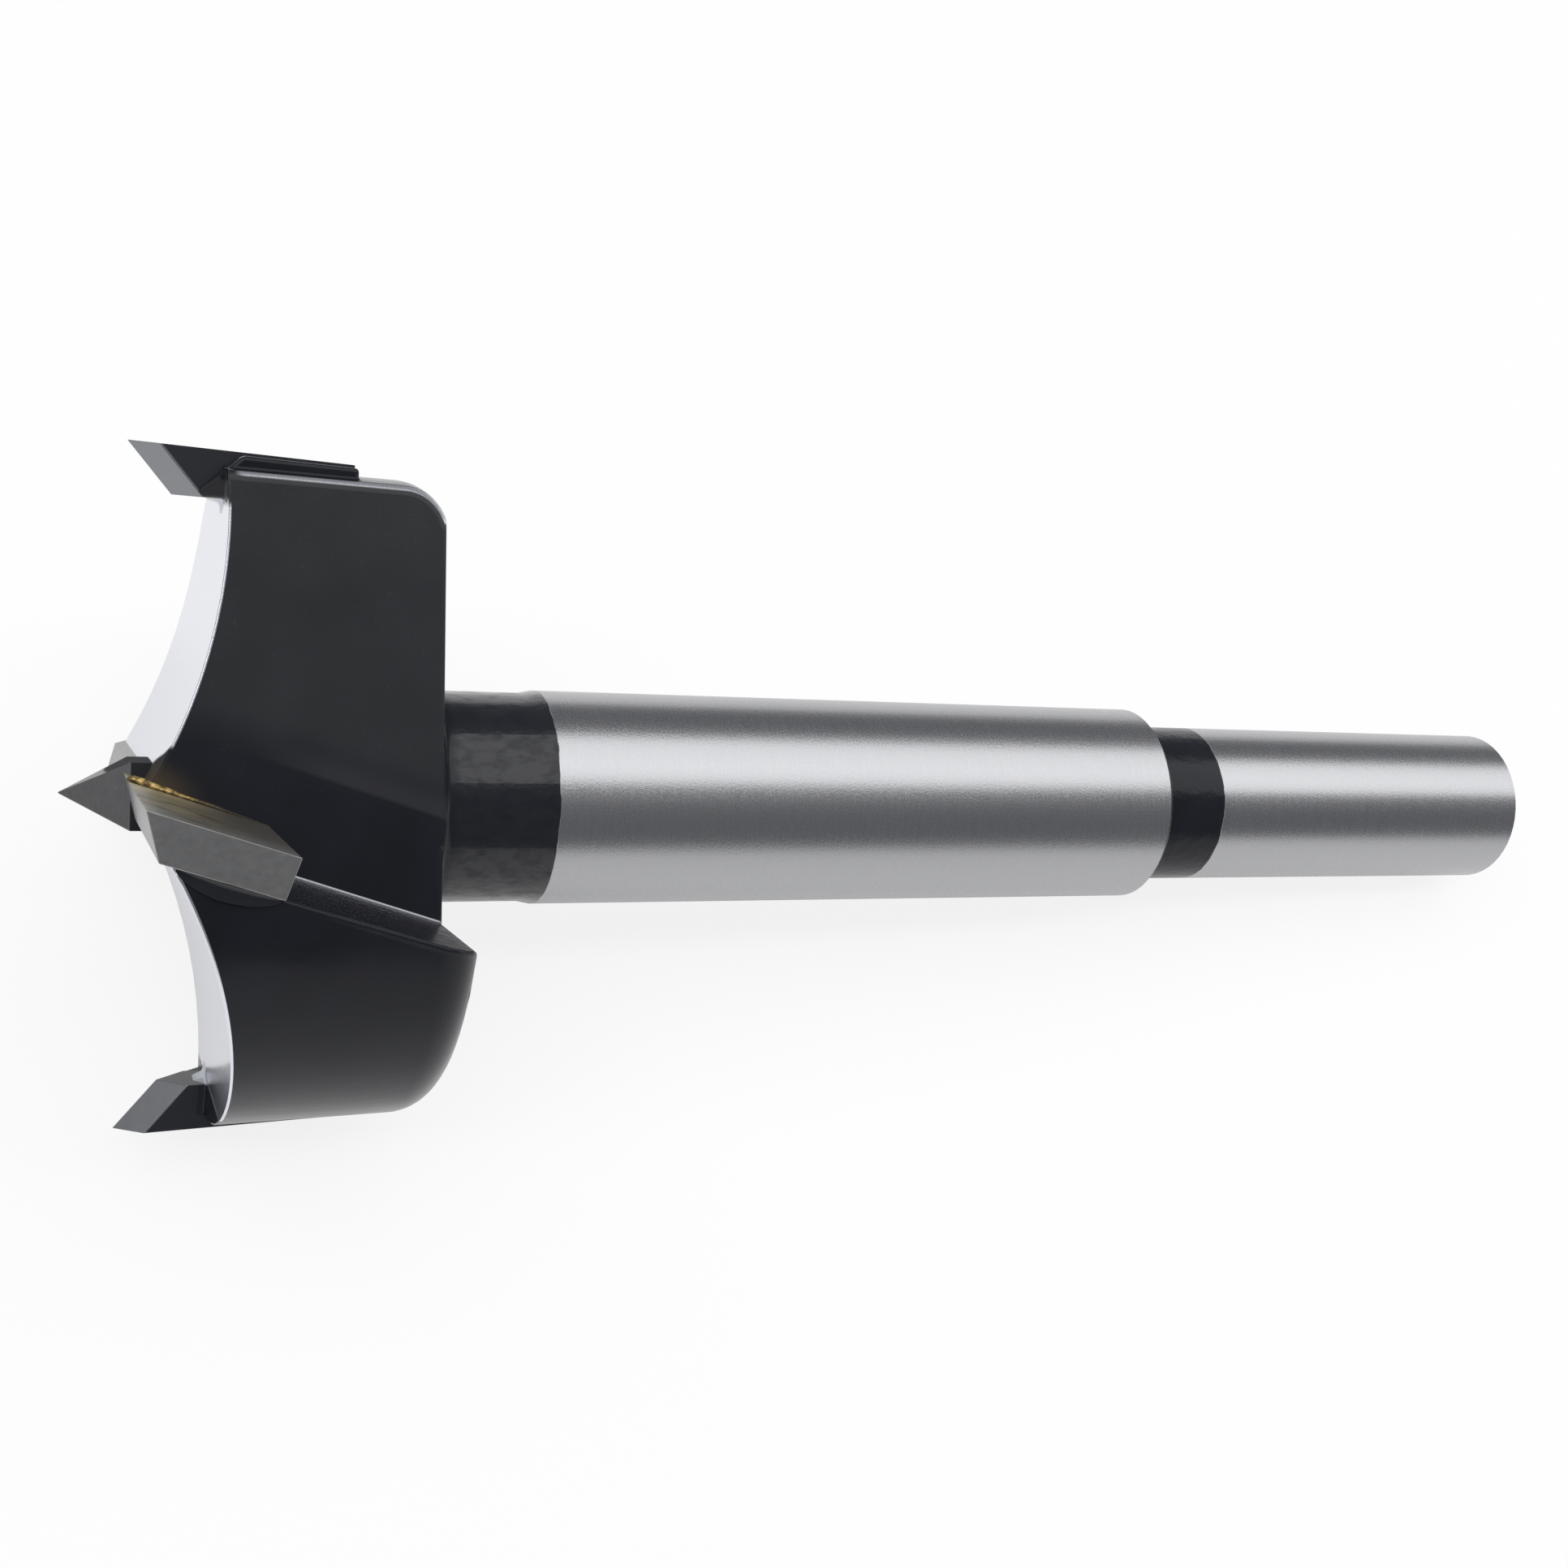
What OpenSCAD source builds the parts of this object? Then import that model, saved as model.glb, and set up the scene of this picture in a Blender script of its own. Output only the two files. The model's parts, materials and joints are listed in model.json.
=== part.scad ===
// Forstner bit for flat-bottomed holes, such as hinge cups: a one-piece steel head and shank,
// with brazed carbide inserts for the main edges, the rim spurs and the centre point.
// Inside the modules the bit stands on the end of its shank, with its axis along Z and its tip up.
// The finished pieces are then laid on the ground as a loose bit comes to rest.

/* [Head] */
// Diameter of the hole that the bit bores
head_d = 35; // [30:0.5:40]
// Length of the head, from the cutting edges to its rear face
head_len = 15; // [13:0.5:20]
// How far the steel rim lies inside the bored diameter
rim_inset = 0.8; // [0.5:0.1:1.1]
// Back taper of the steel rim, in degrees
rim_taper = 1; // [0:0.5:2]
// Length of the rounded rear corner of the rim, along the axis
rear_round_len = 2.1; // [1:0.1:3]
// Drop of the rounded rear corner of the rim, towards the axis
rear_round_drop = 1.4; // [0.6:0.1:2]

/* [Stem and shank] */
// Overall length, from the tip of the centre point to the end of the shank
overall_len = 90; // [80:1:110]
// Diameter of the neck behind the head
neck_d = 11.3; // [10:0.1:11.5]
// Length of the neck
neck_len = 5.2; // [3:0.2:8]
// Length of the cone from the neck to the stem
neck_cone_len = 0.7; // [0.3:0.1:1.5]
// Radius of the fillet between the head and the neck
neck_fillet = 0.6; // [0.3:0.1:1.2]
// Diameter of the stem
stem_d = 11.6; // [11.5:0.1:13]
// Chamfer at the end of the stem
stem_chamfer = 0.4; // [0.2:0.1:0.8]
// Diameter of the shank that the chuck grips
shank_d = 9.5; // [8:0.1:10.5]
// Length of the shank
shank_len = 28; // [20:1:35]
// Chamfer at the end of the shank
shank_chamfer = 0.6; // [0.3:0.1:1]

/* [Main cutters] */
// Thickness of a cutter plate
cutter_t = 2; // [1.6:0.1:2.6]
// Length of a cutter plate down its rake face
cutter_len = 6.8; // [5:0.1:9]
// Slope of the rake face and of its seat from the axis, in degrees
rake = 18; // [12:1:22]
// Relief of the front face behind the cutting edge, in degrees
edge_relief = 14; // [8:1:18]
// How far the cutting edge lies ahead of the axis
cutter_ahead = 1.2; // [0.6:0.1:1.6]
// Relief of the plate's outer end below the cutting corner, in degrees
end_relief = 8; // [6:1:12]
// Back taper of the plate's outer end, in degrees
end_taper = 2; // [1:0.5:4]

/* [Spurs] */
// Length of a spur plate along the rim
spur_len = 10.8; // [9:0.1:13]
// Depth of a spur plate towards the axis
spur_depth = 2.5; // [2:0.1:3.5]
// Thickness of a spur plate across the rim
spur_t = 2.4; // [1.8:0.1:3]
// How far the spur tips stand in front of the main edges
spur_lead = 0.1; // [0.1:0.1:0.8]
// Slope of the spur's front edge, in degrees back from its tip
spur_bevel = 40; // [30:1:55]
// Back taper of the spur's outer face, in degrees
spur_taper = 2; // [1:0.5:3]
// Slope of the spur's two ground faces, in degrees back from the ridge between them
spur_roof = 42; // [35:1:48]
// Clearance of the spur's outer face behind its scoring edge, in degrees
spur_clearance = 4; // [3:1:10]
// How far the spur's scoring face lies ahead of the axis
spur_ahead = 0.2; // [0:0.1:1]
// Thickness of the steel pad that backs each spur
backing_t = 1.4; // [0.8:0.1:1.8]
// How far the backing pad stays below the spur's outer face
backing_drop = 0.15; // [0.1:0.05:0.4]

/* [Centre point] */
// How far the point stands in front of the main edges
point_reach = 3; // [2:0.1:4]
// Width of the point's square stub
point_w = 3.4; // [2.6:0.1:4]
// Angle between opposite faces of the point, in degrees
point_angle = 54; // [45:1:70]
// Length of the square stub in its socket
point_stub = 6; // [4:0.5:8]

/* [Chip gullets] */
// Lean of the gullet's wall away from the cutting edge, in degrees
wall_lean = 6.2; // [3:0.1:10]
// Steel left between the gullet's wall and the stem's surface
wall_cover = 0.05; // [0.02:0.01:0.5]
// Height of the deeper pass along the gullet's seat
pass_h = 5; // [3:0.5:7]
// Depth of that pass into the wall
pass_depth = 0.15; // [0.05:0.05:0.18]

/* [Front hollow] */
// Radius of the hollow-ground front face of each wing
hollow_r = 28; // [24:1:40]
// How far the deepest line of the hollow lies behind the cutting edge, along the axis
hollow_depth = 4.4; // [4:0.1:6]
// Step from the cutter's heel down to the hollow's steel face, along the axis
heel_step = 0.45; // [0.4:0.05:0.8]

/* [Hidden] */
$fn = 96;
STEEL = "#2c2d33";
CARBIDE = "#7b7b7d";
ARC_STEPS = 10;

// Levels along the bit, up from the end of the shank
edge_z = overall_len - point_reach;
rear_z = edge_z - head_len;
neck_z = rear_z - neck_len;
stem_z = neck_z - neck_cone_len;
grip_z = (shank_chamfer + shank_len) / 2;
margin = head_d;

// Radii about the bit's axis
head_r = head_d / 2;
rim_r = head_r - rim_inset;
rear_rim_r = rim_r - (head_len - rear_round_len) * tan(rim_taper);
neck_r = neck_d / 2;
stem_r = stem_d / 2;
shank_r = shank_d / 2;

// The rear corner's arc: it leaves the rim smoothly and ends on the rear face
rear_sweep = 2 * atan2(rear_round_drop, rear_round_len);
rear_arc_r = rear_round_len / sin(rear_sweep);
rear_arc_z = rear_z + rear_round_len;

// The cutting corner of a main cutter, and the spur's scoring corner
corner_y = sqrt(pow(head_r, 2) - pow(cutter_ahead, 2));
score_x = sqrt(pow(head_r, 2) - pow(spur_ahead, 2));
seat_x = cutter_ahead - cutter_t / cos(rake);
wall_off = stem_r + wall_cover;

// The heel of a cutter, where its front face meets the seat: around the bit, then along the axis
heel_run = cutter_t / cos(rake + edge_relief);
heel = heel_run * [cos(edge_relief), sin(edge_relief)];

// How far the deepest line of the hollow lies behind the cutting edge, around the bit
hollow_rise = hollow_depth - heel[1] - heel_step;
hollow_reach = heel[0] + sqrt(hollow_rise * (2 * hollow_r - hollow_rise));

// Where a spur's plate starts and ends, and where the centre point's pyramid meets its stub
spur_tip_z = edge_z + spur_lead;
spur_back_z = spur_tip_z - spur_len;
point_shoulder_z = overall_len - point_w / 2 / tan(point_angle / 2);
stub_z = point_shoulder_z - point_stub;

// Points that touch the ground at rest, as [along Z, Y, X]: a wing's trailing corner at the rear
// of the rim, and the cutting corner of the other wing
trail_x = -sqrt(pow(rear_rim_r, 2) - pow(wall_off, 2));
trail = [
    rear_arc_z,
    trail_x * sin(wall_lean) + wall_off * cos(wall_lean),
    trail_x * cos(wall_lean) - wall_off * sin(wall_lean)
];
corner = [edge_z, corner_y, -cutter_ahead];

// Roll and tilt of the resting bit: both points and the shank's end edge lie on one level plane
trail_run = trail[0] - shank_chamfer;
corner_run = corner[0] - shank_chamfer;
roll_a = trail[1] / trail_run - corner[1] / corner_run;
roll_b = trail[2] / trail_run - corner[2] / corner_run;
roll_c = shank_r / corner_run - shank_r / trail_run;
rest_roll = atan2(roll_a, roll_b) + acos(roll_c / norm([roll_a, roll_b]));
trail_drop = trail[1] * sin(rest_roll) + trail[2] * cos(rest_roll);
rest_tilt = atan(-(trail_drop + shank_r) / trail_run);

// Lays the upright bit down: head towards -X, the middle of the shank's wall at the origin
module lay_down() {
    rotate([0, rest_tilt, 0])
        rotate([rest_roll, 0, 0])
            rotate([0, -90, 0])
                translate([0, 0, -grip_z])
                    children();
}

// One of the two wings: the second is the first one turned half round
module wing(index) {
    rotate([0, 0, 180 * index]) children();
}

// Carries an outline in the X-Z plane along -Y, from one distance to another
module across(from, to) {
    translate([0, -from, 0])
        rotate([90, 0, 0])
            linear_extrude(to - from)
                children();
}

// Turned outline of the whole steel body: radius, then level
module turned_body() {
    fillet_points = [
        for (i = [0 : ARC_STEPS])
            let (a = 90 * i / ARC_STEPS)
                [neck_r + neck_fillet * (1 - cos(a)), rear_z - neck_fillet * (1 - sin(a))]
    ];
    corner_points = [
        for (i = [0 : ARC_STEPS])
            let (a = rear_sweep * (1 - i / ARC_STEPS))
                [rear_rim_r - rear_arc_r * (1 - cos(a)), rear_arc_z - rear_arc_r * sin(a)]
    ];
    rotate_extrude()
        polygon(concat(
            [
                [0, 0],
                [shank_r - shank_chamfer, 0],
                [shank_r, shank_chamfer],
                [shank_r, shank_len],
                [stem_r - stem_chamfer, shank_len],
                [stem_r, shank_len + stem_chamfer],
                [stem_r, stem_z],
                [neck_r, neck_z]
            ],
            fillet_points,
            corner_points,
            [[rim_r, edge_z], [0, edge_z]]
        ));
}

// Half-space above a wing's seat plane, up to a height
module above_seat(height) {
    translate([seat_x, 0, edge_z])
        rotate([0, rake, 0])
            translate([0, -margin, -2 * margin])
                cube([height, 2 * margin, 3 * margin]);
}

// Half-space outside the gullet's wall, over the length of the head
module outside_wall(offset) {
    rotate([0, 0, wall_lean])
        translate([-margin, -offset - margin, rear_z - neck_fillet])
            cube([2 * margin, margin, head_len + margin]);
}

// Chip gullet in front of a wing's leading face, with a slightly deeper pass along its seat
module gullet() {
    intersection() {
        above_seat(2 * margin);
        outside_wall(wall_off);
    }
    intersection() {
        above_seat(pass_h);
        outside_wall(wall_off - pass_depth);
    }
}

// Round hollow that gives the wing's front face its relief behind the cutting edge
module front_hollow() {
    translate([cutter_ahead - hollow_reach, 0, edge_z - hollow_depth + hollow_r])
        rotate([90, 0, 0])
            cylinder(r = hollow_r, h = 2 * margin, center = true);
}

// Main cutter plate: rake face, relieved front, square back, and an outer end ground for clearance
module cutter_plate() {
    down = [-sin(rake), -cos(rake)];
    inward = [-cos(rake), sin(rake)];
    edge = [cutter_ahead, edge_z];
    difference() {
        across(point_w / 2, head_r)
            polygon([
                edge,
                edge - heel,
                edge + cutter_len * down + cutter_t * inward,
                edge + cutter_len * down
            ]);
        translate([cutter_ahead, -corner_y, edge_z])
            rotate([end_taper, 0, -end_relief])
                translate([-margin, -margin, -margin])
                    cube([2 * margin, margin, 2 * margin]);
    }
}

// Turns a piece of the spur about its scoring corner, by its clearance
module lean_spur() {
    translate([-score_x, -spur_ahead, 0])
        rotate([0, 0, -spur_clearance])
            children();
}

// Space in front of the spur's two ground faces: they slope back from a ridge in mid-plate
module before_ridge() {
    translate([0, spur_t / 2, spur_tip_z])
        rotate([0, spur_bevel, 0])
            for (side = [-1, 1])
                rotate([-side * spur_roof, 0, 0])
                    translate([-margin, -margin, 0])
                        cube([2 * margin, 2 * margin, margin]);
}

// Spur plate: a flat strip in the rim, ground to a ridge that slopes back from the tip
module spur_plate() {
    lean_spur()
        difference() {
            across(-spur_t, 0)
                polygon([
                    [-spur_t * tan(spur_taper), spur_tip_z + spur_t],
                    [spur_len * tan(spur_taper), spur_back_z],
                    [spur_depth, spur_back_z],
                    [spur_depth, spur_tip_z + spur_t]
                ]);
            before_ridge();
        }
}

// Steel pad that backs the spur on its trailing side, with a sloped front ground back with the spur
module spur_backing() {
    front_z = edge_z - hollow_depth - backing_t / 2;
    lean_spur()
        difference() {
            across(-spur_t - backing_t, -spur_t)
                polygon([
                    [(spur_tip_z - front_z) * tan(spur_taper) + backing_drop, front_z],
                    [spur_len * tan(spur_taper) + backing_drop, spur_back_z],
                    [spur_depth, spur_back_z],
                    [spur_depth, front_z + spur_depth - backing_drop]
                ]);
            before_ridge();
        }
}

// Side outline of the centre point and of its square stub
module point_outline() {
    polygon([
        [-point_w / 2, stub_z],
        [point_w / 2, stub_z],
        [point_w / 2, point_shoulder_z],
        [0, overall_len],
        [-point_w / 2, point_shoulder_z]
    ]);
}

// Square hole that takes the stub, open at the front
module point_socket() {
    translate([-point_w / 2, -point_w / 2, stub_z])
        cube([point_w, point_w, overall_len - stub_z]);
}

// Centre point: a four-sided pyramid on a square stub
module point_piece() {
    intersection() {
        across(-point_w / 2, point_w / 2) point_outline();
        rotate([0, 0, 90]) across(-point_w / 2, point_w / 2) point_outline();
    }
}

module steel_body() {
    color(STEEL)
        lay_down()
            difference() {
                union() {
                    difference() {
                        turned_body();
                        for (i = [0, 1]) wing(i) front_hollow();
                    }
                    for (i = [0, 1]) wing(i) spur_backing();
                }
                for (i = [0, 1]) wing(i) gullet();
                for (i = [0, 1]) wing(i) cutter_plate();
                for (i = [0, 1]) wing(i) spur_plate();
                point_socket();
            }
}

module main_cutter(index) {
    color(CARBIDE) lay_down() wing(index) cutter_plate();
}

module spur(index) {
    color(CARBIDE) lay_down() wing(index) spur_plate();
}

module centre_point() {
    color(CARBIDE) lay_down() point_piece();
}

steel_body();
main_cutter(0);  // main_cutter_1
main_cutter(1);  // main_cutter_2
spur(0);  // spur_1
spur(1);  // spur_2
centre_point();
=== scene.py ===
# %% [markdown]
# # A carbide-tipped forstner bit
# The bit lies on the ground as a loose one comes to rest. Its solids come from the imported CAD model.
# This lesson gives them their looks: softened painted steel, ground steel, carbide and braze.

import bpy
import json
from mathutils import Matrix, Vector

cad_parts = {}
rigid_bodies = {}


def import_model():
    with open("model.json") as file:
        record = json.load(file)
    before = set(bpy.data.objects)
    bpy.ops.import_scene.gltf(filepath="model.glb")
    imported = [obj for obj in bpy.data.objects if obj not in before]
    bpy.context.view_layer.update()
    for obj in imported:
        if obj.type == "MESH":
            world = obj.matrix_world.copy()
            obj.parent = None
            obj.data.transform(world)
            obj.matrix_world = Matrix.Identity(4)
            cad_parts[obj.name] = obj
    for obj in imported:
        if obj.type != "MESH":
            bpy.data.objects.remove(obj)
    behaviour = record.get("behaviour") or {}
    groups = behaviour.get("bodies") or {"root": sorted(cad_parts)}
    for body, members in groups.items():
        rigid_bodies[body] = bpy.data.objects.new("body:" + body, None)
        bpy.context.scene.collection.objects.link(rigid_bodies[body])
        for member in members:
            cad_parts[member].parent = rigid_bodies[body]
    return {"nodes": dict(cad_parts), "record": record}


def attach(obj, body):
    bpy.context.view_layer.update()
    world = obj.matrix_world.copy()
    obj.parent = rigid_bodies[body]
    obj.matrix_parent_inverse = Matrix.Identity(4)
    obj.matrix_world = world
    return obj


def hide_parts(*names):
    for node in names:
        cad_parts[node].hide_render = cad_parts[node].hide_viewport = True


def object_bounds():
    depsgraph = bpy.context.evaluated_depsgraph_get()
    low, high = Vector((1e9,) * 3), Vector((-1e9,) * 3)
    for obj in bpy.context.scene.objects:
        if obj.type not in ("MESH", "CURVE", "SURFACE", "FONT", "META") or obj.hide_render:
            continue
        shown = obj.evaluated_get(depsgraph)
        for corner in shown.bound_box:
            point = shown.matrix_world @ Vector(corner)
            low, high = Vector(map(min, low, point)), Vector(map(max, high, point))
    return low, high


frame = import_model()
cad_box = [list(corner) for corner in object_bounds()]

import json
import math

import bmesh
import bpy
import numpy as np
from mathutils import Matrix
from mathutils.bvhtree import BVHTree

print("nodes:", sorted(frame["nodes"]))

# %% [markdown]
# ## The bit's own frame
# On the real bit every feature is set out from its axis and its cutting plane, but the lying bit is
# rolled and tilted. The places could be measured in the tilted frame. It is easier to work in a bit
# frame, in millimetres, and to turn the finished points: x runs from the cutting plane to the shank,
# y away from the viewer and z up in the picture.

# %% Bit frame
MM = 0.001
ROLL, TILT = math.radians(-52.14465), math.radians(6.45233)
EDGE_TO_GRIP = 72.7
LAY_DOWN = np.array(Matrix.Rotation(TILT, 3, "Y") @ Matrix.Rotation(ROLL, 3, "X"))


def lay_down(points):
    """Bit frame in mm to the scene in m: shift the origin to the shank's grip, roll, tilt, scale."""
    return (np.asarray(points, float) - [EDGE_TO_GRIP, 0, 0]) @ LAY_DOWN.T * MM


def stand_up(points):
    """The scene in m back to the bit frame in mm."""
    return np.asarray(points, float) / MM @ LAY_DOWN + [EDGE_TO_GRIP, 0, 0]


axis = np.array(frame["record"]["mounts"][0]["axis"])
drawn_axis = lay_down([[1, 0, 0]]) - lay_down([[0, 0, 0]])
print("axis error:", np.abs(drawn_axis - axis * MM).max())

# %% [markdown]
# ## One wing stands for both
# The head has two wings, and the second is the first one turned half round the axis. Each face could be
# described twice. It is shorter to describe the wing whose gullet faces the viewer, by the planes of its
# cutter and its wall, and to turn points from one wing to the other.

# %% Planes of a wing
RAKE, WALL_LEAN = math.radians(18), math.radians(6.2)
CUTTER_AHEAD, CUTTER_T = 1.2, 2.0
DOWN_RAKE = np.array([math.cos(RAKE), 0, -math.sin(RAKE)])
OFF_RAKE = np.array([math.sin(RAKE), 0, math.cos(RAKE)])
OFF_WALL = np.array([0, -math.cos(WALL_LEAN), math.sin(WALL_LEAN)])


def half_turn(points, wing):
    """First-wing points on the asked wing: for the second one y and z change sign."""
    return np.asarray(points, float) * ([1, 1, 1] if wing == 0 else [1, -1, -1])


def on_first_wing(points):
    """Scene points turned to the first wing in mm, which wing each one was on, and their distances out
    from the axis, square to the gullet wall, and up from the cutter's rake plane."""
    place = stand_up(points)
    wing = (place[:, 1] > 0).astype(int)
    place = place * np.stack([wing * 0 + 1, 1 - 2 * wing, 1 - 2 * wing], axis=1)
    return place, wing, place @ OFF_WALL, (place - [0, 0, CUTTER_AHEAD]) @ OFF_RAKE


print("directions off the rake face and the wall:", np.round(OFF_RAKE, 3), np.round(OFF_WALL, 3))

# %% [markdown]
# ## Clean copies
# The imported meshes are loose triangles. A modifier finds an edge only where faces share their points, and
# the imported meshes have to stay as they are. So each node is copied, and in the copy doubled points are
# merged, triangles of no area are dropped and flat neighbours are joined into whole faces.

# %% Copies that a modifier can round
MERGE, FLAT_UNDER = 0.002, math.radians(0.05)


def merged_copy(node):
    """The node's triangles with shared points and whole flat faces, as a mesh to work on."""
    work = bmesh.new()
    work.from_mesh(frame["nodes"][node].data)
    bmesh.ops.remove_doubles(work, verts=work.verts[:], dist=MERGE * MM)
    bmesh.ops.dissolve_degenerate(work, dist=MERGE * MM, edges=work.edges[:])
    bmesh.ops.dissolve_limit(work, angle_limit=FLAT_UNDER, verts=work.verts[:], edges=work.edges[:])
    return work


def new_piece(name, mesh):
    """A mesh as a visible object in the scene."""
    piece = bpy.data.objects.new(name, mesh)
    bpy.context.scene.collection.objects.link(piece)
    return piece


print("loose triangles in the body:", len(frame["nodes"]["steel_body"].data.polygons))

# %% [markdown]
# ## The wall's deeper pass
# Each gullet wall was ground in two passes, and the one beside the cutter went a little deeper. The
# solid has a small step where it ends. A worn grinding wheel leaves no step, and cutting the mesh again
# for it would be much work. Drawing the points at each end of the lip together is enough.

# %% Lip that runs out
WALL_OFF, PASS_OFF, PASS_TOP, HEAD_REAR = 5.85, 5.7, 3.0, 15.0
LIP_NEAR = 0.02


def run_out_pass_lip(work):
    """Runs the lip of the deeper pass out to nothing: at each end its points join the outermost one."""
    work.verts.ensure_lookup_table()
    place, wing, off, up = on_first_wing([vert.co for vert in work.verts])
    lip = (off > PASS_OFF - LIP_NEAR) & (off < WALL_OFF + LIP_NEAR) & (abs(up - PASS_TOP) < LIP_NEAR)
    rear = (place[:, 0] > HEAD_REAR / 2).astype(int)
    ends = [np.flatnonzero(lip & (2 * wing + rear == corner)) for corner in range(4)]
    joins = [([work.verts[i] for i in end], work.verts[end[off[end].argmax()]].co.copy()) for end in ends]
    for verts, target in joins:
        bmesh.ops.pointmerge(work, verts=verts, merge_co=target)


print("height of the lip, mm:", round(WALL_OFF - PASS_OFF, 2))

# %% [markdown]
# ## Which edges the paint rounds
# Paint draws back from sharp corners and fills inner ones, so each edge of the painted head shows as a
# thin bright line. One width for every edge would be simple but wrong: the top of the wall is rounder,
# the hollow faces were ground last and are nearly sharp, and the steel was cut to fit each insert. So
# the width is chosen from the place of each edge.

# %% Hollow front faces
EDGE_RELIEF, HEEL_STEP, HOLLOW_R, HOLLOW_BACK = math.radians(14), 0.45, 28.0, 4.4
HEEL_RUN = CUTTER_T / math.cos(RAKE + EDGE_RELIEF)
HOLLOW_RISE = HOLLOW_BACK - HEEL_RUN * math.sin(EDGE_RELIEF) - HEEL_STEP
HOLLOW_UP = (HEEL_RUN * math.cos(EDGE_RELIEF) - CUTTER_AHEAD
             + math.sqrt(HOLLOW_RISE * (2 * HOLLOW_R - HOLLOW_RISE)))


def off_hollow(x, z):
    """Distance of a place from the nearer hollow face: the radius less the way to its centre line."""
    return HOLLOW_R - math.hypot(x + HOLLOW_R - HOLLOW_BACK, abs(z) - HOLLOW_UP)


print("deepest line of the hollow, mm from the axis:", round(HOLLOW_UP, 2))

# %% Width of each rounding
ROUND_EDGE, ROUND_WALL_TOP, ROUND_HOLLOW, FILL_CORNER = 0.2, 0.42, 0.08, 0.14
ROUND_OVER = math.radians(22)
NECK_ZONE, WALL_TOP_R, WALL_TOP_START = 7.2, 14.5, 4.6
ON_FACE = 0.03


def rounding(edge, trees):
    """Width in mm by which paint rounds or fills an edge, from where the edge lies."""
    middle = (edge.verts[0].co + edge.verts[1].co) / 2
    place, _, off, _ = on_first_wing([middle])
    along, y, z = place[0]
    radius = math.hypot(y, z)
    angle = edge.calc_face_angle_signed(0)
    if abs(angle) < ROUND_OVER or along > HEAD_REAR + 0.5:
        return 0.0
    if along > HEAD_REAR - 0.4 and radius < NECK_ZONE:
        return 0.0
    if any(tree.find_nearest(middle, ON_FACE * MM)[0] is not None for tree in trees):
        return 0.0
    if angle < 0:
        return FILL_CORNER
    if abs(off_hollow(along, z)) < ON_FACE:
        return ROUND_HOLLOW
    if abs(off[0] - WALL_OFF) < ON_FACE and radius > WALL_TOP_R and along > WALL_TOP_START:
        return ROUND_WALL_TOP
    return ROUND_EDGE


print("widths, mm:", ROUND_EDGE, ROUND_WALL_TOP, ROUND_HOLLOW, FILL_CORNER)

# %% [markdown]
# ## Softened steel
# A bevel in the shader would be lost in other programs, so the edges are rounded by a Bevel modifier,
# with each width as the edge's weight. The bevel sets narrow faces beside wide ones, and plain smooth
# shading would then bend the light over the wide ones. A Weighted Normal modifier keeps them flat.

# %% Painted body
INSERTS = ["main_cutter_1", "main_cutter_2", "spur_1", "spur_2", "centre_point"]
SMOOTH_UNDER = math.radians(24)


def insert_trees():
    """A search tree for each insert, to tell which edges of the body lie against it."""
    trees = []
    for node in INSERTS:
        insert = bmesh.new()
        insert.from_mesh(frame["nodes"][node].data)
        trees.append(BVHTree.FromBMesh(insert))
        insert.free()
    return trees


def softened_body():
    """The body's copy as an object, and the rounding of each of its edges in mm."""
    work = merged_copy("steel_body")
    run_out_pass_lip(work)
    trees = insert_trees()
    widths = np.array([rounding(edge, trees) for edge in work.edges])
    for edge in work.edges:
        edge.smooth = edge.calc_face_angle(0) < SMOOTH_UNDER
    for face in work.faces:
        face.smooth = True
    mesh = bpy.data.meshes.new("painted_body")
    work.to_mesh(mesh)
    work.free()
    return new_piece("painted_body", mesh), widths


painted_body, widths = softened_body()
print("rounded edges:", int((widths > 0).sum()), "of", len(widths))

# %% Rounding of the body
layer = painted_body.data.attributes.new("bevel_weight_edge", "FLOAT", "EDGE")
layer.data.foreach_set("value", widths / widths.max())
bevel = painted_body.modifiers.new("paint round", "BEVEL")
bevel.limit_method = "WEIGHT"
bevel.width = widths.max() * MM
bevel.segments = 4
bevel.use_clamp_overlap = False
flats = painted_body.modifiers.new("flat faces keep their shade", "WEIGHTED_NORMAL")
flats.keep_sharp = True
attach(painted_body, "root")
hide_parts("steel_body")
print("widest rounding, mm:", widths.max())

# %% [markdown]
# ## Ground inserts
# Ground carbide has crisp edges, but no edge is a true line: each keeps a tiny flat that glints.
# The plates are plain convex solids, so a narrow one-step bevel on a copy is enough.

# %% Inserts with a fine edge flat
EDGE_FLAT, FLAT_OVER = 0.03, math.radians(20)


def honed_insert(node):
    """A copy of an insert whose sharp edges are cut by a narrow flat."""
    work = merged_copy(node)
    mesh = bpy.data.meshes.new(node + "_honed")
    work.to_mesh(mesh)
    work.free()
    piece = new_piece(node + "_honed", mesh)
    bevel = piece.modifiers.new("edge flat", "BEVEL")
    bevel.limit_method = "ANGLE"
    bevel.angle_limit = FLAT_OVER
    bevel.width = EDGE_FLAT * MM
    bevel.segments = 1
    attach(piece, "root")
    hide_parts(node)
    return piece


inserts = {node: honed_insert(node) for node in INSERTS}
print("inserts:", ", ".join(inserts))

# %% [markdown]
# ## A fillet carried along a corner
# Braze and paint gather in the corners between the body and its inserts. These are separate solids, so a
# bevel can't fill the corner between them, and a line in the material would catch no light. So a
# hollow section is carried along the corner line, with a reach that changes on the way.

# %% Mesh from a grid of points
SHARP_OVER = math.radians(40)


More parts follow.
